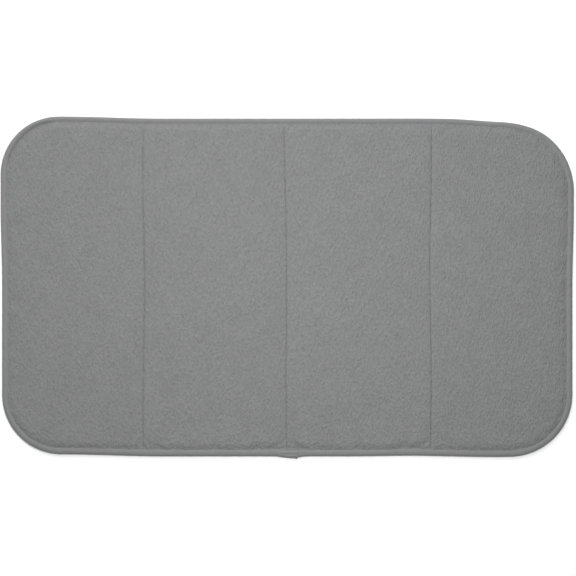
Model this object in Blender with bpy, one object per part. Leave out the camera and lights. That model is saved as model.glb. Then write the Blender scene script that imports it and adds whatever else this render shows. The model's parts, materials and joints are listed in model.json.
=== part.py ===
"""A thin padded bath mat that folds in four along three stitched seams.

Metres, +Z up, +X along the mat. The origin is on the floor under the mat's centre.
Three layers (grip backing, foam, face cloth) are squeezed together at the edge by a folded
binding tape. Each fold seam divides the layers into panels that turn about an axis just above them.
"""

import math

import bmesh
import bpy

# The finished mat, binding included.
MAT_LENGTH = 0.864
MAT_WIDTH = 0.512
CORNER_RADIUS = 0.087
CORNER_STEPS = 12

# The layers between the seams, from the floor up.
BACKING_THICKNESS = 0.0016
FOAM_THICKNESS = 0.0036
FACE_THICKNESS = 0.0022
LAYER_GAP = 0.0003

# The edge, where the binding squeezes the two cloths together and the foam stops short.
BINDING_WIDTH = 0.009
TAPE_THICKNESS = 0.0006
NOSE_DEPTH = 0.002
NOSE_STEPS = 6
EDGE_BACKING_THICKNESS = 0.0010
EDGE_FACE_THICKNESS = 0.0018
SHOULDER_WIDTH = 0.009

# The fold seams, where the stitches pull the face down and the backing up.
FOLD_GAP = 0.0003
FOLDED_END_CLEARANCE = 0.002
PINCH_WIDTH = 0.003
PINCH_DEPTH = 0.0010
AXIS_CLEARANCE = 0.0003

# The threads, each in a plain run beside the seam or along the binding.
THREAD_DIAMETER = 0.0004
THREAD_CLEARANCE = 0.0003
THREAD_OFF_FLOOR = 0.0001
THREAD_FROM_FOLD = 0.0005
THREAD_FROM_BINDING_EDGE = 0.0014

# The overlapped end of the binding tape, on the front edge beside the centre fold.
LAP_START = 0.002
LAP_END = 0.025
LAP_SLANT = 0.005
LAP_OUTER_INSET = 0.0015

# Heights that the layers give. The binding clears the floor by its own bobbin thread.
BINDING_LIFT = THREAD_OFF_FLOOR + THREAD_DIAMETER + THREAD_CLEARANCE
BACKING_TOP = BACKING_THICKNESS
FOAM_BOTTOM = BACKING_TOP + LAYER_GAP
FOAM_TOP = FOAM_BOTTOM + FOAM_THICKNESS
FACE_BOTTOM = FOAM_TOP + LAYER_GAP
FACE_TOP = FACE_BOTTOM + FACE_THICKNESS
EDGE_BACKING_BOTTOM = BINDING_LIFT + TAPE_THICKNESS + LAYER_GAP
EDGE_BACKING_TOP = EDGE_BACKING_BOTTOM + EDGE_BACKING_THICKNESS
EDGE_FACE_BOTTOM = EDGE_BACKING_TOP + LAYER_GAP
EDGE_FACE_TOP = EDGE_FACE_BOTTOM + EDGE_FACE_THICKNESS
BINDING_TOP = EDGE_FACE_TOP + LAYER_GAP + TAPE_THICKNESS

# Insets from the mat's outer edge.
CLOTH_INSET = NOSE_DEPTH
SHOULDER_START = BINDING_WIDTH + LAYER_GAP
SHOULDER_END = SHOULDER_START + SHOULDER_WIDTH
THREAD_INSET = BINDING_WIDTH - THREAD_FROM_BINDING_EDGE
LAP_INNER_INSET = THREAD_INSET - THREAD_DIAMETER / 2 - THREAD_CLEARANCE

# The end panels fold in and stop just short of the centre fold.
HALF_LENGTH = MAT_LENGTH / 2
HALF_WIDTH = MAT_WIDTH / 2
END_PANEL_LENGTH = (HALF_LENGTH - FOLDED_END_CLEARANCE) / 2
FOLD_X = HALF_LENGTH - END_PANEL_LENGTH
END_FOLD_HEIGHT = FACE_TOP + AXIS_CLEARANCE
CENTRE_FOLD_HEIGHT = 2 * END_FOLD_HEIGHT + AXIS_CLEARANCE

# Each panel's two limits along X, and whether each of them is a fold.
PANELS = {
    "left_end": (-HALF_LENGTH, -FOLD_X, False, True),
    "left_middle": (-FOLD_X, 0, True, True),
    "right_middle": (0, FOLD_X, True, True),
    "right_end": (FOLD_X, HALF_LENGTH, True, False),
}

FINISHES = {
    "face_cloth": ((0.250, 0.252, 0.256), 0.95),
    "foam": ((0.780, 0.745, 0.640), 0.90),
    "backing_cloth": ((0.330, 0.335, 0.345), 0.85),
    "binding_tape": ((0.262, 0.264, 0.268), 0.80),
    "thread": ((0.215, 0.217, 0.221), 0.60),
}


def remove_scene_objects():
    for thing in list(bpy.data.objects):
        bpy.data.objects.remove(thing, do_unlink=True)


def make_collection(name):
    collection = bpy.data.collections.new(name)
    bpy.context.scene.collection.children.link(collection)
    return collection


def make_material(name, finish):
    colour, roughness = FINISHES[finish]
    material = bpy.data.materials.new(name)
    material.use_nodes = True
    shader = material.node_tree.nodes["Principled BSDF"]
    shader.inputs["Base Color"].default_value = (*colour, 1)
    shader.inputs["Roughness"].default_value = roughness
    shader.inputs["Metallic"].default_value = 0
    return material


def add_piece(name, data, finish, collection, axis):
    """Adds a piece whose mesh or curve is already in place, and hangs it on its fold's axis."""
    data.materials.append(make_material(name, finish))
    piece = bpy.data.objects.new(name, data)
    collection.objects.link(piece)
    piece.parent = axis
    piece.matrix_parent_inverse = axis.matrix_world.inverted()
    return piece


def mesh_from(name, bm):
    bmesh.ops.remove_doubles(bm, verts=bm.verts, dist=0.00001)
    bmesh.ops.recalc_face_normals(bm, faces=bm.faces)
    mesh = bpy.data.meshes.new(name)
    bm.to_mesh(mesh)
    bm.free()
    return mesh


def outline(inset):
    """The mat's rounded rectangle moved in by inset, anticlockwise from the front right corner."""
    radius = CORNER_RADIUS - inset
    centre_x = HALF_LENGTH - CORNER_RADIUS
    centre_y = HALF_WIDTH - CORNER_RADIUS
    points = []
    for corner, (side_x, side_y) in enumerate(((1, -1), (1, 1), (-1, 1), (-1, -1))):
        for step in range(CORNER_STEPS + 1):
            angle = math.radians(-90 + 90 * (corner + step / CORNER_STEPS))
            x = side_x * centre_x + radius * math.cos(angle)
            y = side_y * centre_y + radius * math.sin(angle)
            points.append((x, y))
    return points


def inset_at(x, y):
    """How far a point of the mat lies in from its outer edge."""
    from_x = abs(x) - (HALF_LENGTH - CORNER_RADIUS)
    from_y = abs(y) - (HALF_WIDTH - CORNER_RADIUS)
    if from_x > 0 and from_y > 0:
        return CORNER_RADIUS - math.hypot(from_x, from_y)
    return CORNER_RADIUS - max(from_x, from_y)


def shoulder_share(x, y):
    """0 under the binding, 1 where the layers have their full height."""
    share = (inset_at(x, y) - SHOULDER_START) / SHOULDER_WIDTH
    return min(max(share, 0), 1)


def pinch_share(x):
    """1 at a fold seam, 0 from the pinch width on."""
    distance = min(abs(x - fold) for fold in (-FOLD_X, 0, FOLD_X))
    return max(1 - distance / PINCH_WIDTH, 0)


def layer_height(x, y, edge_height, full_height, pinch):
    """A surface's height: from its edge height up the shoulder, and moved by the seams' pinch."""
    share = shoulder_share(x, y)
    return edge_height + share * (full_height - edge_height + pinch * pinch_share(x))


def flat_panel(panel, rings):
    """One panel's plan as flat triangles, cut where its surfaces bend."""
    x_low, x_high, low_is_fold, high_is_fold = PANELS[panel]
    bm = bmesh.new()
    face = bm.faces.new([bm.verts.new((x, y, 0)) for x, y in outline(rings[0])])
    bm.normal_update()
    for near, far in zip(rings, rings[1:]):
        bmesh.ops.inset_region(
            bm, faces=[face], thickness=far - near, use_boundary=True, use_even_offset=True
        )

    def cut(x, **clear):
        everything = bm.verts[:] + bm.edges[:] + bm.faces[:]
        bmesh.ops.bisect_plane(bm, geom=everything, plane_co=(x, 0, 0), plane_no=(1, 0, 0), **clear)

    if low_is_fold:
        cut(x_low + FOLD_GAP / 2, clear_inner=True)
        cut(x_low + PINCH_WIDTH)
    if high_is_fold:
        cut(x_high - FOLD_GAP / 2, clear_outer=True)
        cut(x_high - PINCH_WIDTH)
    bmesh.ops.triangulate(bm, faces=bm.faces)
    return bm


def layer_mesh(name, panel, rings, bottom, top):
    """A layer of one panel between two surfaces, each (edge height, full height, pinch)."""
    bm = flat_panel(panel, rings)
    lower = bm.verts[:]
    sheet = bm.faces[:] + bm.edges[:] + bm.verts[:]
    grown = bmesh.ops.extrude_face_region(bm, geom=sheet, use_keep_orig=True)
    upper = [item for item in grown["geom"] if isinstance(item, bmesh.types.BMVert)]
    for verts, surface in ((lower, bottom), (upper, top)):
        for vert in verts:
            vert.co.z = layer_height(vert.co.x, vert.co.y, *surface)
    return mesh_from(name, bm)


def backing_cloth(panel):
    bottom = (EDGE_BACKING_BOTTOM, 0, PINCH_DEPTH)
    top = (EDGE_BACKING_TOP, BACKING_TOP, PINCH_DEPTH)
    rings = (CLOTH_INSET, SHOULDER_START, SHOULDER_END)
    return layer_mesh(f"backing_cloth_{panel}", panel, rings, bottom, top)


def foam_core(panel):
    bottom = (FOAM_BOTTOM, FOAM_BOTTOM, PINCH_DEPTH)
    top = (FOAM_TOP, FOAM_TOP, -PINCH_DEPTH)
    return layer_mesh(f"foam_core_{panel}", panel, (SHOULDER_END,), bottom, top)


def face_cloth(panel):
    bottom = (EDGE_FACE_BOTTOM, FACE_BOTTOM, -PINCH_DEPTH)
    top = (EDGE_FACE_TOP, FACE_TOP, -PINCH_DEPTH)
    rings = (CLOTH_INSET, SHOULDER_START, SHOULDER_END)
    return layer_mesh(f"face_cloth_{panel}", panel, rings, bottom, top)


def tape_section():
    """The folded tape's closed section as (inset, height): round the nose, and back inside it."""
    middle = (BINDING_LIFT + BINDING_TOP) / 2
    half = (BINDING_TOP - BINDING_LIFT) / 2
    angles = [math.radians(90 - 180 * step / NOSE_STEPS) for step in range(NOSE_STEPS + 1)]

    def wall(skin):
        section = [(BINDING_WIDTH, middle + half - skin)]
        for angle in angles:
            inset = NOSE_DEPTH - (NOSE_DEPTH - skin) * math.cos(angle)
            section.append((inset, middle + (half - skin) * math.sin(angle)))
        section.append((BINDING_WIDTH, middle - half + skin))
        return section

    return wall(0) + wall(TAPE_THICKNESS)[::-1]


def binding_ring():
    """The whole binding: a loft of the tape's section through loops that run round the mat."""
    bm = bmesh.new()
    loops = []
    for inset, height in tape_section():
        loops.append([bm.verts.new((x, y, height)) for x, y in outline(inset)])
    for near, far in zip(loops, loops[1:] + loops[:1]):
        for step, vert in enumerate(near):
            bm.faces.new((near[step - 1], vert, far[step], far[step - 1]))
    return bm


def binding_mesh(name, panel, side_y):
    """The binding along one panel, and only its front (-1) or back (1) run if side_y is given."""
    x_low, x_high, low_is_fold, high_is_fold = PANELS[panel]
    bm = binding_ring()

    def cut(place, direction):
        everything = bm.verts[:] + bm.edges[:] + bm.faces[:]
        bmesh.ops.bisect_plane(
            bm, geom=everything, plane_co=place, plane_no=direction, clear_outer=True
        )

    if low_is_fold:
        cut((x_low + FOLD_GAP / 2, 0, 0), (-1, 0, 0))
    if high_is_fold:
        cut((x_high - FOLD_GAP / 2, 0, 0), (1, 0, 0))
    if side_y:
        cut((0, 0, 0), (0, -side_y, 0))
    bmesh.ops.holes_fill(bm, edges=[edge for edge in bm.edges if edge.is_boundary])
    return mesh_from(name, bm)


def thread_curve(name, points):
    curve = bpy.data.curves.new(name, "CURVE")
    curve.dimensions = "3D"
    curve.bevel_depth = THREAD_DIAMETER / 2
    curve.bevel_resolution = 2
    curve.use_fill_caps = True
    spline = curve.splines.new("POLY")
    spline.points.add(len(points) - 1)
    for place, point in zip(spline.points, points):
        place.co = (*point, 1)
    return curve


def fold_thread(name, x, edge_height, full_height, pinch, side):
    """A run beside a fold seam, above (1) or below (-1) a surface, from binding to binding."""
    lift = side * (THREAD_CLEARANCE + THREAD_DIAMETER / 2)
    points = []
    for inset in (SHOULDER_START + THREAD_DIAMETER, SHOULDER_END):
        y = HALF_WIDTH - inset
        points.append((x, y, layer_height(x, y, edge_height, full_height, pinch) + lift))
    return thread_curve(name, points + [(x, -y, z) for x, y, z in points[::-1]])


def binding_run(panel, side_y):
    """The plan of the stitches along one stretch of binding."""
    x_low, x_high, low_is_fold, high_is_fold = PANELS[panel]
    margin = FOLD_GAP / 2 + THREAD_DIAMETER / 2
    low, high, y = x_low + margin, x_high - margin, HALF_WIDTH - THREAD_INSET
    if side_y:
        return [(low, side_y * y), (high, side_y * y)]
    plan = outline(THREAD_INSET)
    half = len(plan) // 2
    if high_is_fold:
        return [(high, y)] + plan[half:] + [(high, -y)]
    return [(low, -y)] + plan[:half] + [(low, y)]


def binding_thread(name, panel, side_y, height):
    return thread_curve(name, [(x, y, height) for x, y in binding_run(panel, side_y)])


def binding_lap():
    """The tape's last stretch, laid over its first and cut on a slant."""
    outer_y = -HALF_WIDTH + LAP_OUTER_INSET
    inner_y = -HALF_WIDTH + LAP_INNER_INSET
    curve = bpy.data.curves.new("binding_lap", "CURVE")
    curve.dimensions = "2D"
    curve.fill_mode = "BOTH"
    curve.extrude = TAPE_THICKNESS / 2
    spline = curve.splines.new("POLY")
    spline.use_cyclic_u = True
    corners = (
        (LAP_START, outer_y),
        (LAP_END - LAP_SLANT, outer_y),
        (LAP_END, inner_y),
        (LAP_START, inner_y),
    )
    spline.points.add(len(corners) - 1)
    for place, (x, y) in zip(spline.points, corners):
        place.co = (x, y, 0, 1)
    return curve


def fold_axes(collection):
    """One empty per panel: the fixed left middle panel's, and each fold's axis."""
    places = {
        "left_middle": ("mat", (0, 0, 0), None),
        "left_end": ("left_end_fold", (-FOLD_X, 0, END_FOLD_HEIGHT), "left_middle"),
        "right_middle": ("centre_fold", (0, 0, CENTRE_FOLD_HEIGHT), "left_middle"),
        "right_end": ("right_end_fold", (FOLD_X, 0, END_FOLD_HEIGHT), "right_middle"),
    }
    axes = {}
    for panel, (name, place, parent) in places.items():
        axis = bpy.data.objects.new(name, None)
        axis.empty_display_size = 0.02
        collection.objects.link(axis)
        axis.location = place
        if parent:
            axis.parent = axes[parent]
            axis.matrix_parent_inverse = axes[parent].matrix_world.inverted()
        axes[panel] = axis
        bpy.context.view_layer.update()
    return axes


def add_layers(collection, axes):
    for panel, axis in axes.items():
        for make, finish in (
            (backing_cloth, "backing_cloth"),
            (foam_core, "foam"),
            (face_cloth, "face_cloth"),
        ):
            mesh = make(panel)
            add_piece(mesh.name, mesh, finish, collection, axis)


def add_binding(collection, axes):
    """The tape and its two threads, in six stretches that part at the folds."""
    needle_height = BINDING_TOP + THREAD_CLEARANCE + THREAD_DIAMETER / 2
    bobbin_height = BINDING_LIFT - THREAD_CLEARANCE - THREAD_DIAMETER / 2
    stretches = {"left_end": ("left_end", 0), "right_end": ("right_end", 0)}
    for panel in ("left_middle", "right_middle"):
        stretches[f"back_{panel}"] = (panel, 1)
        stretches[f"front_{panel}"] = (panel, -1)
    for stretch, (panel, side_y) in stretches.items():
        axis = axes[panel]
        tape = binding_mesh(f"binding_{stretch}", panel, side_y)
        add_piece(tape.name, tape, "binding_tape", collection, axis)
        for kind, height in (("needle", needle_height), ("bobbin", bobbin_height)):
            thread = binding_thread(f"binding_{kind}_thread_{stretch}", panel, side_y, height)
            add_piece(thread.name, thread, "thread", collection, axis)
    lap = add_piece("binding_lap", binding_lap(), "binding_tape", collection, axes["right_middle"])
    lap.location.z = BINDING_TOP + LAYER_GAP + TAPE_THICKNESS / 2


def add_fold_threads(collection, axes):
    """Each fold's two threads lie on the side of the panel that the fold turns about."""
    needle = (EDGE_FACE_TOP, FACE_TOP, -PINCH_DEPTH, 1)
    bobbin = (EDGE_BACKING_BOTTOM, 0, PINCH_DEPTH, -1)
    for fold, x, panel in (
        ("left_end_fold", -FOLD_X + THREAD_FROM_FOLD, "left_middle"),
        ("centre_fold", -THREAD_FROM_FOLD, "left_middle"),
        ("right_end_fold", FOLD_X - THREAD_FROM_FOLD, "right_middle"),
    ):
        for kind, surface in (("needle", needle), ("bobbin", bobbin)):
            thread = fold_thread(f"{kind}_thread_{fold}", x, *surface)
            add_piece(thread.name, thread, "thread", collection, axes[panel])


def main():
    remove_scene_objects()
    collection = make_collection("bath_mat")
    axes = fold_axes(collection)
    add_layers(collection, axes)
    add_binding(collection, axes)
    add_fold_threads(collection, axes)


main()
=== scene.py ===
import json
import math

import bmesh
import bpy
import numpy as np
from mathutils import Matrix, Vector, noise


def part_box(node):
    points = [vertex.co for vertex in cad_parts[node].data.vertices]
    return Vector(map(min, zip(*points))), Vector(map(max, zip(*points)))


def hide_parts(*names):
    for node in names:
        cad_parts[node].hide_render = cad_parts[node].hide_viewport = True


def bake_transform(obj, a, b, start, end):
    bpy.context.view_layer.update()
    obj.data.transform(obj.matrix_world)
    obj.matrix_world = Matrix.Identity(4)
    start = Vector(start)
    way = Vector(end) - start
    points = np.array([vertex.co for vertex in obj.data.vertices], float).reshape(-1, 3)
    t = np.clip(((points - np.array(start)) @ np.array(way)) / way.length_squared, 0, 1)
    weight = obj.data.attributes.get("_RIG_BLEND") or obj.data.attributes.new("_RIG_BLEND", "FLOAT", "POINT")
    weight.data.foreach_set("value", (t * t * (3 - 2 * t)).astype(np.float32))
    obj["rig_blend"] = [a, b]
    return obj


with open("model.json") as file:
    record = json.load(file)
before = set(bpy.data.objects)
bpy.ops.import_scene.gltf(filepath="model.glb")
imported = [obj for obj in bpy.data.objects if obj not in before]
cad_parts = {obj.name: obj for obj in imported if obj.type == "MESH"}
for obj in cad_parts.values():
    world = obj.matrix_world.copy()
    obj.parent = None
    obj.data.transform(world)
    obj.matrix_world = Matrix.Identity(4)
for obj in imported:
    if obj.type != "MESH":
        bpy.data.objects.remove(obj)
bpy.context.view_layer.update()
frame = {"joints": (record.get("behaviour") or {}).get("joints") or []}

# Everything is in metres, in the frame's own axes: +X along the mat, +Z up from the floor.
folds = {joint["name"]: joint["pos_m"][0] for joint in frame["joints"]}
foldX = {
    "left": folds["left_end_fold"],
    "centre": folds["centre_fold"],
    "right": folds["right_end_fold"],
}
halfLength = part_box("binding_right_end")[1].x
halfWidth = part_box("binding_right_end")[1].y
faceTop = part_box("face_cloth_left_middle")[1].z

# Each layer is made whole and parts halfway between the folds, so each part bends at one fold only.
# The bodies are listed from the fold's right side to its left: a half turn then closes the face in.
parts = {
    "Left": {
        "fold": "left",
        "from": None,
        "to": foldX["left"] / 2,
        "bodies": ("left_middle_panel", "left_end_panel"),
        "panels": ("left_end", "left_middle"),
        "edges": ("left_end", "front_left_middle", "back_left_middle"),
        "threads": "left_end_fold",
        "reach": 0.0060,
    },
    "Centre": {
        "fold": "centre",
        "from": foldX["left"] / 2,
        "to": foldX["right"] / 2,
        "bodies": ("right_middle_panel", "left_middle_panel"),
        "panels": ("left_middle", "right_middle"),
        "edges": ("front_left_middle", "back_left_middle", "front_right_middle", "back_right_middle"),
        "threads": "centre_fold",
        "reach": 0.017,
    },
    "Right": {
        "fold": "right",
        "from": foldX["right"] / 2,
        "to": None,
        "bodies": ("right_end_panel", "right_middle_panel"),
        "panels": ("right_middle", "right_end"),
        "edges": ("right_end", "front_right_middle", "back_right_middle"),
        "threads": "right_end_fold",
        "reach": 0.0060,
    },
}

# The outline as it was sewn: each corner's own radius, and how far the edges and seams stray.
outline = {
    "frontRight": 0.094,
    "backRight": 0.110,
    "backLeft": 0.088,
    "frontLeft": 0.091,
    "leftEndShift": 0.0030,
    "backFlare": 0.0022,
    "backRightDroop": 0.0056,
    "droopX": 0.335,
    "droopHalf": 0.060,
    "frontWave": 0.0010,
    "waveX": (0.185, 0.310),
    "bindingShift": 0.25,
    "backLeftPull": 0.0018,
    "pullInset": 0.0100,
    "pullHalf": 0.0060,
    "lapBulge": 0.0019,
    "lapX": 0.014,
}


def smooth(value):  # 0 below 0, 1 above 1, and an S between
    t = np.clip(value, 0, 1)
    return t * t * (3 - 2 * t)


def bell(value):
    return np.exp(-value * value)


def points(mesh):
    co = np.zeros(len(mesh.vertices) * 3)
    mesh.vertices.foreach_get("co", co)
    return co.reshape(-1, 3)


def setPoints(mesh, co):
    mesh.vertices.foreach_set("co", np.ascontiguousarray(co).ravel())
    mesh.update()


def setPlace(mesh, co):  # where each point lies on the cloth, which its pattern follows
    place = mesh.attributes.get("place") or mesh.attributes.new("place", "FLOAT_VECTOR", "POINT")
    place.data.foreach_set("vector", np.ascontiguousarray(co, dtype=np.float32).ravel())


def toMesh(bm, name):
    mesh = bpy.data.meshes.new(name)
    bm.to_mesh(mesh)
    bm.free()
    return mesh


def copiesOf(single, spots, name, onBinding=False):  # one small shape at spots of x, y, z and heading
    bm = bmesh.new()
    for spot in spots:
        bm.from_mesh(single)
    shape = points(single)
    bpy.data.meshes.remove(single)
    mesh = toMesh(bm, name)
    x, y, z, heading = (np.array(column)[:, None] for column in zip(*spots))
    turnedX = x + np.cos(heading) * shape[:, 0] - np.sin(heading) * shape[:, 1]
    turnedY = y + np.sin(heading) * shape[:, 0] + np.cos(heading) * shape[:, 1]
    co = np.stack([turnedX, turnedY, z + shape[:, 2]], axis=2).reshape(-1, 3)
    setPlace(mesh, co)
    setPoints(mesh, asSewn(co, onBinding))
    return mesh


def unevenAt(x, y, size, seed):
    return np.array([noise.noise(Vector((a / size, b / size, seed))) for a, b in zip(x, y)])


def cornerRadius(x, y):
    right = np.where(y < 0, outline["frontRight"], outline["backRight"])
    left = np.where(y < 0, outline["frontLeft"], outline["backLeft"])
    return np.where(x > 0, right, left)


def rounding(x, y):  # 1 within the rounded corners, 0 along the straight edges
    r = cornerRadius(x, y)
    return smooth((np.abs(x) - halfLength + r) / 0.03) * smooth((np.abs(y) - halfWidth + r) / 0.03)


def atBackLeft(x, y):  # 1 within the back left corner, 0 elsewhere
    return rounding(x, y) * (x < 0) * (y > 0)


def insetAt(x, y):  # how far in from the edge a point of the plain plan lies
    r = cornerRadius(x, y)
    fromX = np.abs(x) - (halfLength - r)
    fromY = np.abs(y) - (halfWidth - r)
    inCorner = (fromX > 0) & (fromY > 0)
    return r - np.where(inCorner, np.hypot(fromX, fromY), np.maximum(fromX, fromY))


def alongAt(x, y):  # distance along the edge from the front's middle, the same way on both sides
    front = np.where(x > 0, outline["frontRight"], outline["frontLeft"])
    back = np.where(x > 0, outline["backRight"], outline["backLeft"])
    x = np.abs(x)
    quarter = math.pi / 2
    side = halfLength - front + front * quarter
    behind = side + 2 * halfWidth - front - back + back * quarter
    r = np.where(y < 0, front, back)
    fromX = x - halfLength + r
    fromY = np.abs(y) - halfWidth + r
    turn = np.arctan2(np.maximum(fromX, 1e-9), np.maximum(fromY, 1e-9))
    inCorner = (fromX > 0) & (fromY > 0)
    onSide = halfLength - x < halfWidth - np.abs(y)
    return np.select(
        [inCorner & (y < 0), inCorner, onSide, y < 0],
        [halfLength - front + front * turn, behind - back * turn, side + y + halfWidth - front, x],
        behind + halfLength - back - x,
    )


def edgeWalk(inset, pitch):  # even steps once round the mat: each point and its heading
    line = []
    turn = -math.pi / 2
    for signX, signY, corner in (
        (1, -1, "frontRight"), (1, 1, "backRight"), (-1, 1, "backLeft"), (-1, -1, "frontLeft"),
    ):
        r = outline[corner]
        for angle in np.linspace(turn, turn + math.pi / 2, 40):
            x = signX * (halfLength - r) + (r - inset) * math.cos(angle)
            y = signY * (halfWidth - r) + (r - inset) * math.sin(angle)
            line.append((x, y))
        turn += math.pi / 2
    line = np.array(line + line[:1])
    reached = np.concatenate([[0], np.cumsum(np.linalg.norm(np.diff(line, axis=0), axis=1))])
    count = round(reached[-1] / pitch)
    at = (np.arange(count) + 0.5) * reached[-1] / count
    ahead = (at + pitch / 10) % reached[-1]
    here = np.stack([np.interp(at, reached, line[:, k]) for k in range(2)], axis=1)
    there = np.stack([np.interp(ahead, reached, line[:, k]) for k in range(2)], axis=1)
    heading = np.arctan2(there[:, 1] - here[:, 1], there[:, 0] - here[:, 0])
    return list(zip(here[:, 0], here[:, 1], heading))


def seamStray(x, y):  # the seams wander a little from straight, each in its own way
    left = 0.0012 * np.cos(2 * np.pi * y / 0.36) * bell((x - foldX["left"]) / 0.03)
    drift = -0.0006 - 0.0036 * smooth((y - 0.06) / 0.19) - 0.0010 * bell((y + 0.135) / 0.035)
    centre = drift * bell((x - foldX["centre"]) / 0.03)
    right = 0.0008 + 0.0012 * np.cos(2 * np.pi * (y - 0.2) / 0.34)
    return left + centre + right * bell((x - foldX["right"]) / 0.03)


def facingFront(y):  # 1 along the front edge, -1 along the back edge, 0 on the sides
    return -np.sign(y) * np.clip(np.abs(y) / halfWidth - 0.75, 0, 0.25) * 4


def asSewn(co, onBinding=False):  # moves points of the plain plan to where the cloth lies; heights stay
    o = outline
    x = co[:, 0].copy()
    y = co[:, 1].copy()
    inset = insetAt(x, y)
    dy = o["leftEndShift"] * smooth((-x - 0.19) / 0.15)
    if onBinding:  # the tape reaches further over the front edge than over the back one
        dy += o["bindingShift"] * np.abs(facingFront(y)) * inset
    droop = bell((x - o["droopX"]) / o["droopHalf"]) * smooth((y - 0.10) / 0.12)
    dy -= o["backRightDroop"] * droop
    front = (1 - smooth((inset - 0.004) / 0.07)) * smooth((-y - 0.1) / 0.1)
    inward, outward = [bell((x - place) / 0.05) for place in o["waveX"]]
    dy += o["frontWave"] * front * (inward - outward)
    lapSide = np.where(x > o["lapX"], 0.009, 0.019)
    dy -= o["lapBulge"] * bell((x - o["lapX"]) / lapSide) * front * (1 - smooth(inset / 0.012))
    dx = np.sign(x) * o["backFlare"] * smooth(y / 0.12) * smooth((np.abs(x) - 0.28) / 0.12)
    dx += seamStray(x, y) * smooth((inset - 0.004) / 0.012)
    # the tape is pulled outwards round the back left corner
    r = o["backLeft"]
    pull = o["backLeftPull"] * atBackLeft(x, y)
    pull *= bell((inset - o["pullInset"]) / o["pullHalf"])
    outX = x + halfLength - r
    outY = y - halfWidth + r
    far = np.maximum(np.hypot(outX, outY), 0.001)
    dx += pull * outX / far
    dy += pull * outY / far
    moved = co.copy()
    moved[:, 0] = x + dx
    moved[:, 1] = y + dy
    return moved


def addPiece(name, mesh, material, part, nodes):
    mesh.shade_smooth()
    mesh.set_sharp_from_angle(angle=math.radians(50))
    mesh.materials.clear()
    mesh.materials.append(material)
    piece = bpy.data.objects.new(name, mesh)
    bpy.context.scene.collection.objects.link(piece)
    x = foldX[parts[part]["fold"]]
    reach = parts[part]["reach"]
    first, second = parts[part]["bodies"]
    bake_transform(piece, first, second, start=(x + reach, 0, 0), end=(x - reach, 0, 0))
    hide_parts(*nodes)
    return piece


def spanOf(its):  # where one part begins and ends along the mat
    low = -halfLength if its["from"] is None else its["from"]
    high = halfLength if its["to"] is None else its["to"]
    return low, high


def cutOut(whole, part):  # one part's share of a closed mesh that spans the mat, closed again
    bm = bmesh.new()
    bm.from_mesh(whole)
    for x, side in ((parts[part]["from"], -1), (parts[part]["to"], 1)):
        if x is None:
            continue
        bmesh.ops.bisect_plane(
            bm, geom=bm.verts[:] + bm.edges[:] + bm.faces[:], dist=1e-6,
            plane_co=(x, 0, 0), plane_no=(side, 0, 0), clear_outer=True,
        )
    bmesh.ops.holes_fill(bm, edges=[e for e in bm.edges if e.is_boundary])
    return toMesh(bm, whole.name + part)


def meshLines(half, marks, field):  # a layer's mesh lines: closer near the edge and the marks
    stops = sorted({-half, half, *marks})
    lines = [stops[0]]
    for low, high in zip(stops, stops[1:]):
        stretch = [low]
        while stretch[-1] < high - 1e-9:
            here = stretch[-1]
            nearMark = any(abs(here - mark) < field["markReach"] for mark in marks)
            nearEdge = field["edgeFrom"] < half - abs(here) < field["edgeTo"]
            stretch.append(here + field["fine" if nearMark or nearEdge else "step"])
        fit = (high - low) / (stretch[-1] - low)
        lines += [low + (line - low) * fit for line in stretch[1:]]
    return np.array(lines)


def layerSheet(name, inset, field):  # a flat sheet of the mat's plan, its rows bent round the corners
    marks = [parts["Left"]["to"], parts["Right"]["from"], *foldX.values()]
    xs = meshLines(halfLength - inset, marks, field)
    ys = meshLines(halfWidth - inset, [], field)
    bm = bmesh.new()
    bmesh.ops.create_grid(bm, x_segments=len(xs) - 1, y_segments=len(ys) - 1, size=1)
    mesh = toMesh(bm, name)
    co = points(mesh)
    x = xs[np.rint((co[:, 0] + 1) / 2 * (len(xs) - 1)).astype(int)]
    y = ys[np.rint((co[:, 1] + 1) / 2 * (len(ys) - 1)).astype(int)]
    r = cornerRadius(x, y) - inset
    fromX = (np.abs(x) - (halfLength - inset - r)) / r
    fromY = (np.abs(y) - (halfWidth - inset - r)) / r
    corner = (fromX > 0) & (fromY > 0)
    pull = np.maximum(fromX, fromY) / np.maximum(np.hypot(fromX, fromY), 1e-9)
    co[:, 0] = np.where(corner, np.sign(x) * (halfLength - inset - r + fromX * pull * r), x)
    co[:, 1] = np.where(corner, np.sign(y) * (halfWidth - inset - r + fromY * pull * r), y)
    co[:, 2] = 0
    setPoints(mesh, co)
    setPlace(mesh, co)
    return mesh


def layerBody(sheet, top, bottom):  # gives a sheet its upper and lower surface, and closes it
    bm = bmesh.new()
    bm.from_mesh(sheet)
    bmesh.ops.solidify(bm, geom=bm.faces[:], thickness=0.001)
    body = toMesh(bm, sheet.name)
    bpy.data.meshes.remove(sheet)
    co = points(body)
    upper = co[:, 2] > -0.0005
    plan = np.zeros(len(co) * 3, np.float32)
    body.attributes["place"].data.foreach_get("vector", plan)
    plan = plan.reshape(-1, 3).astype(float)
    co[:, :2] = plan[:, :2]
    co[:, 2] = np.where(upper, top(plan[:, 0], plan[:, 1]), bottom(plan[:, 0], plan[:, 1]))
    setPoints(body, co)
    return body


def layerPieces(body, name, material, node):
    made = {}
    for part, its in parts.items():
        mesh = cutOut(body, part)
        co = points(mesh)
        setPlace(mesh, co)
        setPoints(mesh, asSewn(co))
        nodes = [f"{node}_{panel}" for panel in its["panels"]]
        made[part] = addPiece(name + part, mesh, material, part, nodes)
    bpy.data.meshes.remove(body)
    print(name, {part: len(piece.data.polygons) for part, piece in made.items()})
    return made


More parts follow.
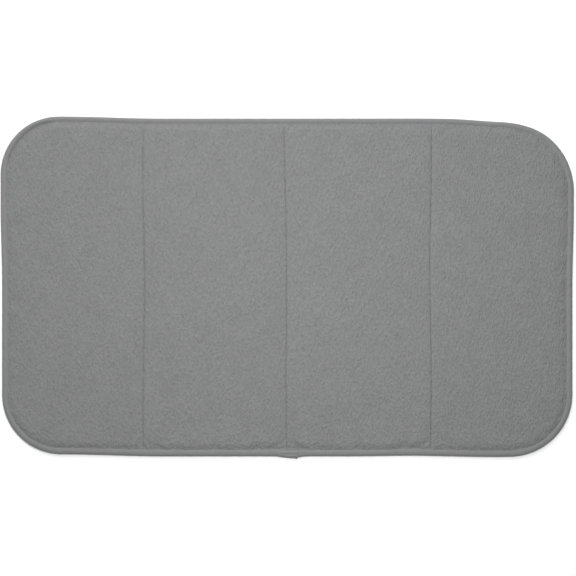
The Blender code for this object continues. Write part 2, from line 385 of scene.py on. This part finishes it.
face = {
    "edgeInset": 0.0020,
    "thickness": 0.0016,
    "pressed": 0.0005,
    "clear": 0.0001,
    "underBinding": 0.0044,
    "valley": 0.0042,
    "valleyInset": 0.0095,
    "valleyShift": 0.0023,
    "frontRise": 0.0013,
    "sideShoulder": 0.0155,
    "frontShoulder": 0.0230,
    "backShoulder": 0.0198,
    "cornerShoulder": 0.0030,
    "backLeftTuck": 0.0016,
    "backLeftReach": 0.0040,
    "grooveDepth": 0.0012,
    "grooveHalf": 0.0011,
    "dishDepth": 0.0006,
    "dishLeft": 0.0085,
    "dishRight": 0.0045,
    "puckerPitch": 0.0133,
    "puckerDepth": 0.0006,
    "unevenness": 0.00020,
    "swell": 0.0007,
    "drift": 0.0003,
    "slack": 0.016,
    "pressure": 4.0,
    "frames": 20,
    "field": {"step": 0.0052, "fine": 0.0018, "markReach": 0.005, "edgeFrom": 0.007, "edgeTo": 0.022},
}


def nearestFold(x):
    return np.min([np.abs(x - place) for place in foldX.values()], axis=0)


def rightOfFold(x):  # true just right of a fold
    offsets = np.array([x - place for place in foldX.values()])
    return np.sum(offsets * (np.abs(offsets) < 0.02), axis=0) > 0


def valleyAt(x, y):  # the binding's inner edge, where the cloth lies lowest
    inset = face["valleyInset"] + face["valleyShift"] * facingFront(y)
    return inset + face["backLeftReach"] * atBackLeft(x, y)


def plumpness(x, y):  # 0 at the binding's stitches, 1 on the panels
    valley = valleyAt(x, y)
    facing = facingFront(y)
    endThere = np.where(facing > 0, face["frontShoulder"], face["backShoulder"])
    end = face["sideShoulder"] + (endThere - face["sideShoulder"]) * np.abs(facing)
    end = end + face["cornerShoulder"] * rounding(x, y) * (y < 0)
    end = end + face["backLeftReach"] * atBackLeft(x, y)
    rise = np.clip((insetAt(x, y) - valley) / (end - valley), 0, 1)
    return np.sin(rise * np.pi / 2) ** (1.1 - 0.25 * facing)


def beforeSwelling(x, y):
    inset = insetAt(x, y)
    valley = valleyAt(x, y)
    tucked = smooth((inset / valley - 0.64) / 0.36)
    low = face["valley"] + face["frontRise"] * np.maximum(facingFront(y), rounding(x, y) * (y < 0))
    z = face["underBinding"] - (face["underBinding"] - low) * tucked
    # the cloth is pulled down hard round the back left corner
    z = z - face["backLeftTuck"] * atBackLeft(x, y) * bell((inset - valley) / 0.0030)
    return z + (faceTop - face["swell"] - low) * plumpness(x, y)


def faceFinish(x, y):  # what the stitches press into the cloth once it has swelled
    inset = insetAt(x, y)
    fold = nearestFold(x)
    sewn = smooth((inset - face["valleyInset"]) / 0.008)
    z = -sewn * face["grooveDepth"] * bell(fold / face["grooveHalf"])
    dishHalf = np.where(rightOfFold(x), face["dishRight"], face["dishLeft"])
    z -= sewn * face["dishDepth"] * bell(fold / dishHalf)
    # gathers along the back edge, stronger right of the centre fold
    back = smooth((y - halfWidth + 0.06) / 0.03) * (0.35 + 0.65 * smooth((x + 0.02) / 0.05))
    wave = 0.5 - 0.5 * np.cos(2 * np.pi * (x + 0.002 * np.sin(x * 90)) / face["puckerPitch"])
    z -= face["puckerDepth"] * back * wave ** 3 * bell((inset - 0.0125) / 0.0035)
    share = smooth((inset - 0.010) / 0.015)
    return z + face["unevenness"] * share * unevenAt(x, y, 0.020, 3.1)


def swellFace(sheet):  # the cloth is cut a little full: it rises and gathers between its stitch lines
    co = points(sheet)
    x = co[:, 0]
    y = co[:, 1]
    start = co.copy()
    start[:, 2] = beforeSwelling(x, y)
    setPoints(sheet, start)
    settling = bpy.data.objects.new("faceSettling", sheet)
    bpy.context.scene.collection.objects.link(settling)
    sewn = (insetAt(x, y) < valleyAt(x, y) + 0.0004) | (nearestFold(x) < 0.0004)
    stitched = settling.vertex_groups.new(name="stitched")
    stitched.add(np.flatnonzero(sewn).tolist(), 1.0, "REPLACE")
    cloth = settling.modifiers.new("Cloth", "CLOTH")
    cloth.settings.vertex_group_mass = "stitched"
    cloth.settings.quality = 5
    cloth.settings.mass = 0.3
    cloth.settings.bending_stiffness = 0.5
    cloth.settings.shrink_min = -face["slack"]
    cloth.settings.use_pressure = True
    cloth.settings.uniform_pressure_force = face["pressure"]
    cloth.settings.effector_weights.gravity = 0
    cloth.collision_settings.use_collision = False
    for step in range(1, face["frames"] + 1):
        bpy.context.scene.frame_set(step)
    settled = settling.evaluated_get(bpy.context.evaluated_depsgraph_get()).to_mesh()
    moved = points(settled) - start
    bpy.data.objects.remove(settling)
    bpy.context.scene.frame_set(1)
    highest = moved[:, 2].max().round(5)
    widest = np.abs(moved[:, :2]).max().round(5)
    print("face cloth swelled: highest", highest, "widest", widest)
    # the foam below and its own weight limit how far it goes
    moved[:, 2] = face["swell"] * np.tanh(moved[:, 2] / face["swell"])
    moved[:, :2] = face["drift"] * np.tanh(moved[:, :2] / face["drift"])
    return start + moved


def makeFaceCloth(material):
    sheet = layerSheet("faceCloth", face["edgeInset"], face["field"])
    swelled = swellFace(sheet)
    setPoints(sheet, swelled)
    # one subdivision, then the height is kept on the finer mesh as the cloth's upper surface
    holder = bpy.data.objects.new("faceFiner", sheet)
    bpy.context.scene.collection.objects.link(holder)
    finer = holder.modifiers.new("Subdivision", "SUBSURF")
    finer.levels = 1
    finer.render_levels = 1
    subdivided = holder.evaluated_get(bpy.context.evaluated_depsgraph_get())
    fineSheet = bpy.data.meshes.new_from_object(subdivided)
    bpy.data.objects.remove(holder)
    co = points(fineSheet)
    plan = np.zeros(len(co) * 3, np.float32)
    fineSheet.attributes["place"].data.foreach_get("vector", plan)
    plan = plan.reshape(-1, 3).astype(float)
    co[:, 2] += faceFinish(plan[:, 0], plan[:, 1])
    bm = bmesh.new()
    setPoints(fineSheet, co)
    bm.from_mesh(fineSheet)
    count = len(bm.verts)
    bmesh.ops.solidify(bm, geom=bm.faces[:], thickness=face["thickness"])
    body = toMesh(bm, "faceCloth")
    # where the stitches pull hardest the pile is pressed thin on the layers below
    co = points(body)
    x = co[:, 0]
    y = co[:, 1]
    nearFoam = insetAt(x, y) > foam["inset"] - 0.0015
    under = np.where(nearFoam, foamTop(x, y), backingTop(x, y))
    pressed = np.where(np.arange(len(co)) < count, face["pressed"], face["clear"])
    co[:, 2] = np.maximum(co[:, 2], under + pressed)
    setPoints(body, co)
    bpy.data.meshes.remove(fineSheet)
    bpy.data.meshes.remove(sheet)
    return layerPieces(body, "faceCloth", material, "face_cloth")


foam = {
    "inset": 0.0102,
    "clearance": 0.0003,
    "thinnest": 0.0002,
    "field": {"step": 0.008, "fine": 0.0016, "markReach": 0.018, "edgeFrom": -1, "edgeTo": 0.014},
}


def foamTop(x, y):
    z = beforeSwelling(x, y) + faceFinish(x, y) - face["thickness"] - foam["clearance"]
    return np.maximum(z, foamBottom(x, y) + foam["thinnest"])


def foamBottom(x, y):
    return backingTop(x, y) + foam["clearance"]


def makeFoam(material):
    sheet = layerSheet("foam", foam["inset"], foam["field"])
    return layerPieces(layerBody(sheet, foamTop, foamBottom), "foam", material, "foam_core")


backing = {
    "edgeInset": 0.0020,
    "thickness": 0.0009,
    "offFloor": 0.0007,
    "edgeRise": 0.0011,
    "dotPitch": 0.0120,
    "dotRadius": 0.0017,
    "dotInset": 0.0170,
    "dotsFromFold": {"Left": 0.0078, "Centre": 0.0035, "Right": 0.0078},
    "dotSides": 8,
    "field": {"step": 0.008, "fine": 0.0016, "markReach": 0.018, "edgeFrom": 0.005, "edgeTo": 0.014},
}


def backingBottom(x, y):
    raised = 1 - smooth((insetAt(x, y) - 0.0100) / 0.0050)
    sewn = bell(nearestFold(x) / 0.0020) * (1 - raised)
    return backing["offFloor"] + backing["edgeRise"] * raised + 0.0003 * sewn


def backingTop(x, y):
    return backingBottom(x, y) + backing["thickness"]


def makeBacking(material):
    sheet = layerSheet("backingCloth", backing["edgeInset"], backing["field"])
    body = layerBody(sheet, backingTop, backingBottom)
    return layerPieces(body, "backingCloth", material, "backing_cloth")


def oneDot():  # a low dome whose flat side meets the cloth
    height = backing["offFloor"] + 0.0002
    bm = bmesh.new()
    bmesh.ops.create_uvsphere(
        bm, u_segments=backing["dotSides"], v_segments=6, radius=backing["dotRadius"]
    )
    bmesh.ops.scale(bm, verts=bm.verts, vec=(1, 1, height / backing["dotRadius"]))
    bmesh.ops.bisect_plane(
        bm, geom=bm.verts[:] + bm.edges[:] + bm.faces[:], dist=1e-6,
        plane_co=(0, 0, 0), plane_no=(0, 0, 1), clear_outer=True,
    )
    bmesh.ops.holes_fill(bm, edges=[e for e in bm.edges if e.is_boundary])
    bmesh.ops.translate(bm, verts=bm.verts, vec=(0, 0, height))
    return toMesh(bm, "dot")


def makeDots(material):
    b = backing
    rowPitch = b["dotPitch"] * 0.866
    made = {}
    for part, its in parts.items():
        low, high = spanOf(its)
        spots = []
        for row in range(int(2 * halfWidth / rowPitch)):
            shift = b["dotPitch"] / 2 * (row % 2)
            first = math.ceil((low - shift) / b["dotPitch"]) * b["dotPitch"] + shift
            xs = np.arange(first, high, b["dotPitch"])
            ys = np.full(len(xs), -halfWidth + (row + 0.5) * rowPitch)
            clear = (nearestFold(xs) > b["dotsFromFold"][part]) & (insetAt(xs, ys) > b["dotInset"])
            spots += [(x, y, 0, 0) for x, y in zip(xs[clear], ys[clear])]
        mesh = copiesOf(oneDot(), spots, "gripDots" + part)
        nodes = [f"backing_cloth_{panel}" for panel in its["panels"]]
        made[part] = addPiece("gripDots" + part, mesh, material, part, nodes)
    print("grip dots", {part: len(piece.data.polygons) for part, piece in made.items()})
    return made


binding = {
    # the folded tape's outer side, as inset and height: upper inner edge, round the nose, lower one
    "section": [
        (0.0098, 0.0049), (0.0082, 0.0053), (0.0064, 0.0059), (0.0042, 0.0061), (0.0020, 0.0054),
        (0.0006, 0.0040), (0.0000, 0.0026), (0.0006, 0.0015), (0.0020, 0.0008), (0.0042, 0.0006),
        (0.0075, 0.0007), (0.0098, 0.0010),
    ],
    "around": 29,
    "step": 0.003,
    "tape": 0.0006,
    "ripple": 0.00022,
    "ripplePitch": 0.017,
}


def smoothLine(keys, count):  # an even curve through a few points
    keys = np.array(keys, float)
    padded = np.vstack([2 * keys[0] - keys[1], keys, 2 * keys[-1] - keys[-2]])
    line = []
    for i in range(len(keys) - 1):
        a, b, c, d = padded[i:i + 4]
        for t in np.linspace(0, 1, 16, endpoint=False):
            bend = (2 * a - 5 * b + 4 * c - d) * t * t + (3 * b - a - 3 * c + d) * t ** 3
            line.append(0.5 * (2 * b + (c - a) * t + bend))
    line = np.array(line + [keys[-1]])
    reached = np.concatenate([[0], np.cumsum(np.linalg.norm(np.diff(line, axis=0), axis=1))])
    at = np.linspace(0, reached[-1], count)
    return np.stack([np.interp(at, reached, line[:, k]) for k in range(2)], axis=1)


def sectionEdges(bm, line, x):  # the section as a row of edges at the mat's front
    across = bm.verts.layers.float.get("across") or bm.verts.layers.float.new("across")
    verts = []
    for i, (inset, z) in enumerate(line):
        vert = bm.verts.new((x, -halfWidth + inset, z))
        vert[across] = i / (len(line) - 1)
        verts.append(vert)
    return verts + [bm.edges.new(pair) for pair in zip(verts, verts[1:])]


def slide(bm, geom, dx, dy):
    made = bmesh.ops.spin(
        bm, geom=geom, cent=(0, 0, 0), axis=(0, 0, 1), angle=0, steps=1,
        dvec=(dx, dy, 0), use_merge=False, use_duplicate=False,
    )
    return made["geom_last"]


def divideLongRuns(bm, step):  # the straight runs get as many steps as their length needs
    while True:
        longest = max(edge.calc_length() for edge in bm.edges)
        if longest < 1.5 * step:
            return
        runs = [edge for edge in bm.edges if abs(edge.calc_length() - longest) < 1e-5]
        cuts = round(longest / step) - 1
        bmesh.ops.subdivide_edges(bm, edges=runs, cuts=cuts, use_grid_fill=True)


def roundCorner(bm, geom, signX, signY, r):
    made = bmesh.ops.spin(
        bm, geom=geom, cent=(signX * (halfLength - r), signY * (halfWidth - r), 0), axis=(0, 0, 1),
        angle=math.pi / 2, dvec=(0, 0, 0), steps=round(r * math.pi / 2 / binding["step"]),
        use_merge=False, use_duplicate=False,
    )
    return made["geom_last"]


def readAcross(mesh):
    across = np.zeros(len(mesh.vertices), np.float32)
    mesh.attributes["across"].data.foreach_get("value", across)
    return across.astype(float)


def makeBinding(material):
    o = outline
    leftX = parts["Left"]["to"]
    rightX = parts["Right"]["from"]
    bm = bmesh.new()
    geom = sectionEdges(bm, smoothLine(binding["section"], binding["around"]), 0)
    geom = slide(bm, geom, rightX, 0)
    geom = slide(bm, geom, halfLength - o["frontRight"] - rightX, 0)
    geom = roundCorner(bm, geom, 1, -1, o["frontRight"])
    geom = slide(bm, geom, 0, 2 * halfWidth - o["frontRight"] - o["backRight"])
    geom = roundCorner(bm, geom, 1, 1, o["backRight"])
    geom = slide(bm, geom, rightX - halfLength + o["backRight"], 0)
    geom = slide(bm, geom, leftX - rightX, 0)
    geom = slide(bm, geom, -halfLength + o["backLeft"] - leftX, 0)
    geom = roundCorner(bm, geom, -1, 1, o["backLeft"])
    geom = slide(bm, geom, 0, o["backLeft"] + o["frontLeft"] - 2 * halfWidth)
    geom = roundCorner(bm, geom, -1, -1, o["frontLeft"])
    geom = slide(bm, geom, leftX + halfLength - o["frontLeft"], 0)
    slide(bm, geom, -leftX, 0)
    bmesh.ops.remove_doubles(bm, verts=bm.verts, dist=1e-5)
    divideLongRuns(bm, binding["step"])
    bmesh.ops.recalc_face_normals(bm, faces=bm.faces)
    # the tape lies a little fuller between its stitches
    layer = bm.verts.layers.float["across"]
    bm.normal_update()
    along = alongAt(*np.array([vert.co.xy for vert in bm.verts]).T)
    fuller = np.sin(2 * np.pi * along / binding["ripplePitch"] + 2.1 * np.sin(along * 37))
    for vert, fullness in zip(bm.verts, fuller):
        upper = math.exp(-((vert[layer] - 0.30) / 0.16) ** 2)
        vert.co += vert.normal * binding["ripple"] * float(fullness) * upper
    bmesh.ops.solidify(bm, geom=bm.faces[:], thickness=binding["tape"])
    whole = toMesh(bm, "binding")
    made = {}
    for part, its in parts.items():
        mesh = cutOut(whole, part)
        co = points(mesh)
        onTape = np.stack([alongAt(co[:, 0], co[:, 1]), readAcross(mesh) * 0.024, co[:, 2]], axis=1)
        setPlace(mesh, onTape)
        setPoints(mesh, asSewn(co, onBinding=True))
        nodes = [f"binding_{edge}" for edge in its["edges"]]
        made[part] = addPiece("binding" + part, mesh, material, part, nodes)
    bpy.data.meshes.remove(whole)
    print("binding", {part: len(piece.data.polygons) for part, piece in made.items()})
    return made


lap = {
    "from": -0.0200,
    "to": 0.0165,
    "step": 0.0009,
    "lift": 0.00075,
    "slant": 0.0024,
    "hem": 0.0030,
    "hemHeight": 0.0004,
    "creaseDepth": 0.0006,
    "creases": 4.6,
    "tape": 0.0005,
}


def makeLap(material):
    line = smoothLine(binding["section"], 41)
    bm = bmesh.new()
    geom = sectionEdges(bm, line, lap["from"])
    steps = round((lap["to"] - lap["from"]) / lap["step"])
    bmesh.ops.spin(
        bm, geom=geom, cent=(0, 0, 0), axis=(0, 0, 1), angle=0, steps=steps,
        dvec=((lap["to"] - lap["from"]) / steps, 0, 0), use_merge=False, use_duplicate=False,
    )
    bmesh.ops.recalc_face_normals(bm, faces=bm.faces)
    bm.normal_update()
    layer = bm.verts.layers.float["across"]
    for vert in bm.verts:
        x = vert.co.x
        share = (x - lap["from"]) / (lap["to"] - lap["from"])
        risen = float(smooth(share / 0.35))
        turns = lap["creases"] * (vert[layer] * 1.25 - 0.10 * share)
        creased = math.sin(2 * math.pi * turns + 4 * share)
        crease = lap["creaseDepth"] * creased * float(smooth((share - 0.15) / 0.5)) * (1 - 0.4 * share)
        hem = lap["hemHeight"] * math.sqrt(max(0, 1 - ((lap["to"] - x) / lap["hem"] - 0.6) ** 2 / 0.36))
        upper = float(smooth((0.75 - vert[layer]) / 0.25))
        lift = -0.0002 + (lap["lift"] + 0.0002) * risen + (crease + hem) * upper
        vert.co += vert.normal * lift
        vert.co.x += lap["slant"] * (0.35 - vert[layer]) * share
    bmesh.ops.solidify(bm, geom=bm.faces[:], thickness=lap["tape"])
    mesh = toMesh(bm, "bindingLap")
    co = points(mesh)
    co[:, 2] = np.maximum(co[:, 2], 0.0001)
    setPlace(mesh, np.stack([co[:, 0], readAcross(mesh) * 0.024, co[:, 2]], axis=1))
    setPoints(mesh, asSewn(co, onBinding=True))
    print("lap", len(mesh.polygons))
    return addPiece("bindingLap", mesh, material, "Centre", ["binding_lap"])


stitch = {
    "pitch": 0.0031,
    "length": 0.0026,
    "radius": 0.00023,
    "bindingInset": 0.0087,
    "needleHeight": 0.00510,
    "bobbinHeight": 0.00062,
    "aboveFace": 0.00012,
    "aboveBacking": 0.00002,
    "endInset": 0.0110,
    "sides": 6,
    "rings": 4,
}


def oneStitch():
    bm = bmesh.new()
    bmesh.ops.create_uvsphere(bm, u_segments=stitch["sides"], v_segments=stitch["rings"], radius=1)
    bmesh.ops.rotate(bm, verts=bm.verts, cent=(0, 0, 0), matrix=Matrix.Rotation(math.pi / 2, 3, "Y"))
    size = (stitch["length"] / 2, stitch["radius"], stitch["radius"])
    bmesh.ops.scale(bm, verts=bm.verts, vec=size)
    return toMesh(bm, "stitch")


def makeStitches(material):
    made = {part: [] for part in parts}
    walk = edgeWalk(stitch["bindingInset"], stitch["pitch"])
    for part, its in parts.items():
        low, high = spanOf(its)
        mine = [spot for spot in walk if low <= spot[0] < high]
        for kind, z in (("Needle", stitch["needleHeight"]), ("Bobbin", stitch["bobbinHeight"])):
            spots = [(x, y, z, heading) for x, y, heading in mine]
            name = f"binding{kind}Stitches{part}"
            nodes = [f"binding_{kind.lower()}_thread_{edge}" for edge in its["edges"]]
            mesh = copiesOf(oneStitch(), spots, name, onBinding=True)
            made[part].append(addPiece(name, mesh, material, part, nodes))
        # the fold's own seam
        x = foldX[its["fold"]]
        reach = halfWidth - stitch["endInset"]
        ys = np.arange(-reach + 0.002, reach - 0.002, stitch["pitch"])
        xs = np.full(len(ys), x)
        top = beforeSwelling(xs, ys) + faceFinish(xs, ys) + stitch["aboveFace"]
        under = backingBottom(xs, ys) + stitch["aboveBacking"]
        for kind, z in (("needle", top), ("bobbin", under)):
            spots = [(x, y, height, math.pi / 2) for y, height in zip(ys, z)]
            name = f"{kind}Stitches{part}Fold"
            mesh = copiesOf(oneStitch(), spots, name)
            nodes = [f"{kind}_thread_{its['threads']}"]
            made[part].append(addPiece(name, mesh, material, part, nodes))
    print("stitches", {part: sum(len(p.data.polygons) for p in rows) for part, rows in made.items()})
    return made


def newMaterial(name, colour, roughness, sheen=0.0, sheenRoughness=0.5):
    material = bpy.data.materials.new(name)
    material.use_nodes = True
    shader = material.node_tree.nodes["Principled BSDF"]
    shader.inputs["Base Color"].default_value = (*colour, 1)
    shader.inputs["Roughness"].default_value = roughness
    shader.inputs["Specular IOR Level"].default_value = 0.25
    shader.inputs["Sheen Weight"].default_value = sheen
    shader.inputs["Sheen Roughness"].default_value = sheenRoughness
    return material, material.node_tree, shader


def node(tree, kind, **values):
    made = tree.nodes.new(kind)
    for name, value in values.items():
        if name in made.inputs:
            made.inputs[name].default_value = value
        else:
            setattr(made, name, value)
    return made


def onCloth(tree, scale, turn=0.0):  # the cloth's own place, turned and scaled
    place = node(tree, "ShaderNodeAttribute", attribute_name="place")
    mapping = node(tree, "ShaderNodeMapping", Rotation=(0, 0, turn), Scale=scale)
    tree.links.new(place.outputs["Vector"], mapping.inputs["Vector"])
    return mapping.outputs["Vector"]


def noiseOn(tree, vector, scale, detail=2.0, roughness=0.5):
    made = node(tree, "ShaderNodeTexNoise", Scale=scale, Detail=detail, Roughness=roughness)
    tree.links.new(vector, made.inputs["Vector"])
    return made.outputs["Fac"]


def waveOn(tree, vector, pitch, distortion=0.0, detailScale=1.0):
    made = node(tree, "ShaderNodeTexWave", Scale=math.pi / 10 / pitch, Distortion=distortion)
    made.inputs["Detail"].default_value = 1.5
    made.inputs["Detail Scale"].default_value = detailScale
    tree.links.new(vector, made.inputs["Vector"])
    return made.outputs["Fac"]


def combine(tree, operation, first, second):
    made = node(tree, "ShaderNodeMath", operation=operation)
    for socket, value in zip(made.inputs, (first, second)):
        if isinstance(value, (int, float)):
            socket.default_value = value
        else:
            tree.links.new(value, socket)
    return made.outputs["Value"]


def blendOf(tree, first, firstShare, second, secondShare):
    first = combine(tree, "MULTIPLY", first, firstShare)
    second = combine(tree, "MULTIPLY", second, secondShare)
    return combine(tree, "ADD", first, second)


def tint(tree, shader, factor, dark, light, low=0.0, high=1.0):  # shades the colour between two values
    ramp = node(tree, "ShaderNodeValToRGB")
    ramp.color_ramp.elements[0].position = low
    ramp.color_ramp.elements[0].color = (*dark, 1)
    ramp.color_ramp.elements[1].position = high
    ramp.color_ramp.elements[1].color = (*light, 1)
    tree.links.new(factor, ramp.inputs["Fac"])
    tree.links.new(ramp.outputs["Color"], shader.inputs["Base Color"])


def addRelief(tree, shader, height, distance, strength=1.0):
    bump = node(tree, "ShaderNodeBump", Distance=distance, Strength=strength)
    tree.links.new(height, bump.inputs["Height"])
    tree.links.new(bump.outputs["Normal"], shader.inputs["Normal"])


def greys(value, spread):  # a dark and a light shade of the mat's slightly cool grey
    cool = (0.994, 1.0, 1.012)
    return tuple(c * value * (1 - spread) for c in cool), tuple(c * value * (1 + spread) for c in cool)


pile = {
    "grey": 0.182,
    "spread": 0.30,
    "diamondTurn": 0.62,
    "diamondPitch": 0.0113,
    "fineTurn": 0.31,
    "finePitch": 0.0066,
    "diamondShare": 0.045,
    "distortion": 3.5,
    "patches": 26,
    "tufts": 420,
    "tuftShare": 0.75,
    "fibres": 1100,
    "fibreShare": 0.2,
    "relief": 0.0036,
}


def pileMaterial():
    dark, light = greys(pile["grey"], pile["spread"])
    material, tree, shader = newMaterial("greyPile", light, 0.95, 0.15, 0.6)
    waves = []
    for size in ("diamond", "fine"):
        pair = []
        for side in (1, -1):
            turned = onCloth(tree, (1, 1, 1), side * pile[size + "Turn"])
            pair.append(waveOn(tree, turned, pile[size + "Pitch"], pile["distortion"], 1.6))
        waves.append(combine(tree, "ADD", *pair))
    patches = noiseOn(tree, onCloth(tree, (1, 1, 1)), pile["patches"], 1.0)
    woven = combine(tree, "MULTIPLY", combine(tree, "ADD", waves[0], waves[1]), patches)
    diamonds = combine(tree, "MULTIPLY", woven, pile["diamondShare"])
    tufts = noiseOn(tree, onCloth(tree, (1, 0.50, 1)), pile["tufts"], 2.0, 0.6)
    fibres = noiseOn(tree, onCloth(tree, (1, 0.35, 1)), pile["fibres"], 1.0)
    soft = noiseOn(tree, onCloth(tree, (1, 1, 1)), 38, 2.0)
    height = blendOf(tree, tufts, pile["tuftShare"], fibres, pile["fibreShare"])
    height = combine(tree, "ADD", height, diamonds)
    # the pile's colour follows its relief: painted shade darkens the low tufts, fibres and diamond grooves,
    # and the soft noise adds random tone
    shade = blendOf(tree, height, 0.8, soft, 0.12)
    tint(tree, shader, shade, dark, light, 0.15, 0.85)
    addRelief(tree, shader, height, pile["relief"])
    return material


tape = {"grey": 0.187, "spread": 0.11, "yarn": 0.00075}


def tapeMaterial():
    dark, light = greys(tape["grey"], tape["spread"])
    material, tree, shader = newMaterial("greyTape", light, 0.82, 0.10, 0.5)
    across = waveOn(tree, onCloth(tree, (1, 1, 1)), tape["yarn"])
    along = waveOn(tree, onCloth(tree, (1, 1, 1), math.pi / 2), tape["yarn"])
    weave = combine(tree, "MULTIPLY", across, along)
    slub = noiseOn(tree, onCloth(tree, (0.4, 1, 1)), 260, 2.0)
    shade = blendOf(tree, weave, 0.35, slub, 0.65)
    tint(tree, shader, shade, dark, light, 0.2, 0.8)
    addRelief(tree, shader, shade, 0.0003)
    return material


def threadMaterial():
    dark, light = greys(0.130, 0.12)
    material, tree, shader = newMaterial("polyesterThread", light, 0.6)
    plies = waveOn(tree, onCloth(tree, (1, 1, 1), 0.7), 0.0004)
    fuzz = noiseOn(tree, onCloth(tree, (1, 1, 1)), 1500, 1.0)
    shade = blendOf(tree, plies, 0.6, fuzz, 0.4)
    tint(tree, shader, shade, dark, light, 0.2, 0.8)
    addRelief(tree, shader, shade, 0.0001)
    return material


def foamMaterial():
    material, tree, shader = newMaterial("paleFoam", (0.62, 0.60, 0.54), 0.9)
    cells = node(tree, "ShaderNodeTexVoronoi", Scale=900.0)
    tree.links.new(onCloth(tree, (1, 1, 1)), cells.inputs["Vector"])
    tint(tree, shader, cells.outputs["Distance"], (0.70, 0.68, 0.62), (0.52, 0.50, 0.44), 0.1, 0.7)
    addRelief(tree, shader, cells.outputs["Distance"], 0.0004)
    return material


def backingMaterial():
    dark, light = greys(0.33, 0.07)
    material, tree, shader = newMaterial("knittedBacking", light, 0.85)
    wales = waveOn(tree, onCloth(tree, (1, 1, 1)), 0.0016)
    courses = waveOn(tree, onCloth(tree, (1, 1, 1), math.pi / 2), 0.0013)
    fuzz = noiseOn(tree, onCloth(tree, (1, 1, 1)), 700, 2.0)
    knit = combine(tree, "MULTIPLY", wales, courses)
    shade = blendOf(tree, knit, 0.6, fuzz, 0.4)
    tint(tree, shader, shade, dark, light, 0.15, 0.8)
    addRelief(tree, shader, shade, 0.0003)
    return material


def rubberMaterial():
    dark, light = greys(0.42, 0.05)
    material, tree, shader = newMaterial("gripRubber", light, 0.45)
    mottle = noiseOn(tree, onCloth(tree, (1, 1, 1)), 500, 2.0)
    tint(tree, shader, mottle, dark, light, 0.3, 0.7)
    addRelief(tree, shader, mottle, 0.0001)
    return material


studio = {
    "floorShade": 0.98,
    "worldLight": 0.47,
    "keyPower": 35,
    "keyPlace": (-0.60, 1.80, 1.25),
    "keySize": (1.3, 0.8),
    "topPower": 6.3,
    "topPlace": (0.03, 0.05, 0.95),
    "topSize": (0.35, 0.35),
    "cameraHeight": 3.0,
    "frameWidth": 0.8716,
    "cameraX": 0.0013,
    "cameraY": -0.0009,
}


def areaLight(name, power, place, size):
    light = bpy.data.lights.new(name, "AREA")
    light.shape = "RECTANGLE"
    light.size = size[0]
    light.size_y = size[1]
    light.energy = power
    lamp = bpy.data.objects.new(name, light)
    lamp.location = place
    lamp.rotation_euler = (-Vector(place)).to_track_quat("-Z", "Y").to_euler()
    lamp.visible_camera = False
    bpy.context.scene.collection.objects.link(lamp)


def makeStudio():
    material, tree, shader = newMaterial("floorPaint", (studio["floorShade"],) * 3, 0.9)
    bm = bmesh.new()
    bmesh.ops.create_grid(bm, x_segments=1, y_segments=1, size=12)
    floor = bpy.data.objects.new("floor", toMesh(bm, "floor"))
    floor.data.materials.append(material)
    bpy.context.scene.collection.objects.link(floor)
    world = bpy.data.worlds.new("studio")
    world.use_nodes = True
    world.node_tree.nodes["Background"].inputs["Color"].default_value = (1, 1, 1, 1)
    world.node_tree.nodes["Background"].inputs["Strength"].default_value = studio["worldLight"]
    bpy.context.scene.world = world
    areaLight("key", studio["keyPower"], studio["keyPlace"], studio["keySize"])
    areaLight("top", studio["topPower"], studio["topPlace"], studio["topSize"])
    lens = bpy.data.cameras.new("camera")
    lens.sensor_width = 36
    lens.clip_end = 20
    lens.lens = lens.sensor_width * (studio["cameraHeight"] - faceTop) / studio["frameWidth"]
    camera = bpy.data.objects.new("camera", lens)
    camera.location = (studio["cameraX"], studio["cameraY"], studio["cameraHeight"])
    bpy.context.scene.collection.objects.link(camera)
    bpy.context.scene.camera = camera
    bpy.context.scene.view_settings.view_transform = "Standard"


makeStudio()
facePieces = makeFaceCloth(pileMaterial())
foamPieces = makeFoam(foamMaterial())
backingPieces = makeBacking(backingMaterial())
dotPieces = makeDots(rubberMaterial())
tapeCloth = tapeMaterial()
bindingPieces = makeBinding(tapeCloth)
lapPiece = makeLap(tapeCloth)
stitchPieces = makeStitches(threadMaterial())

edging = {part: [bindingPieces[part], *stitchPieces[part]] for part in parts}
edging["Centre"].append(lapPiece)
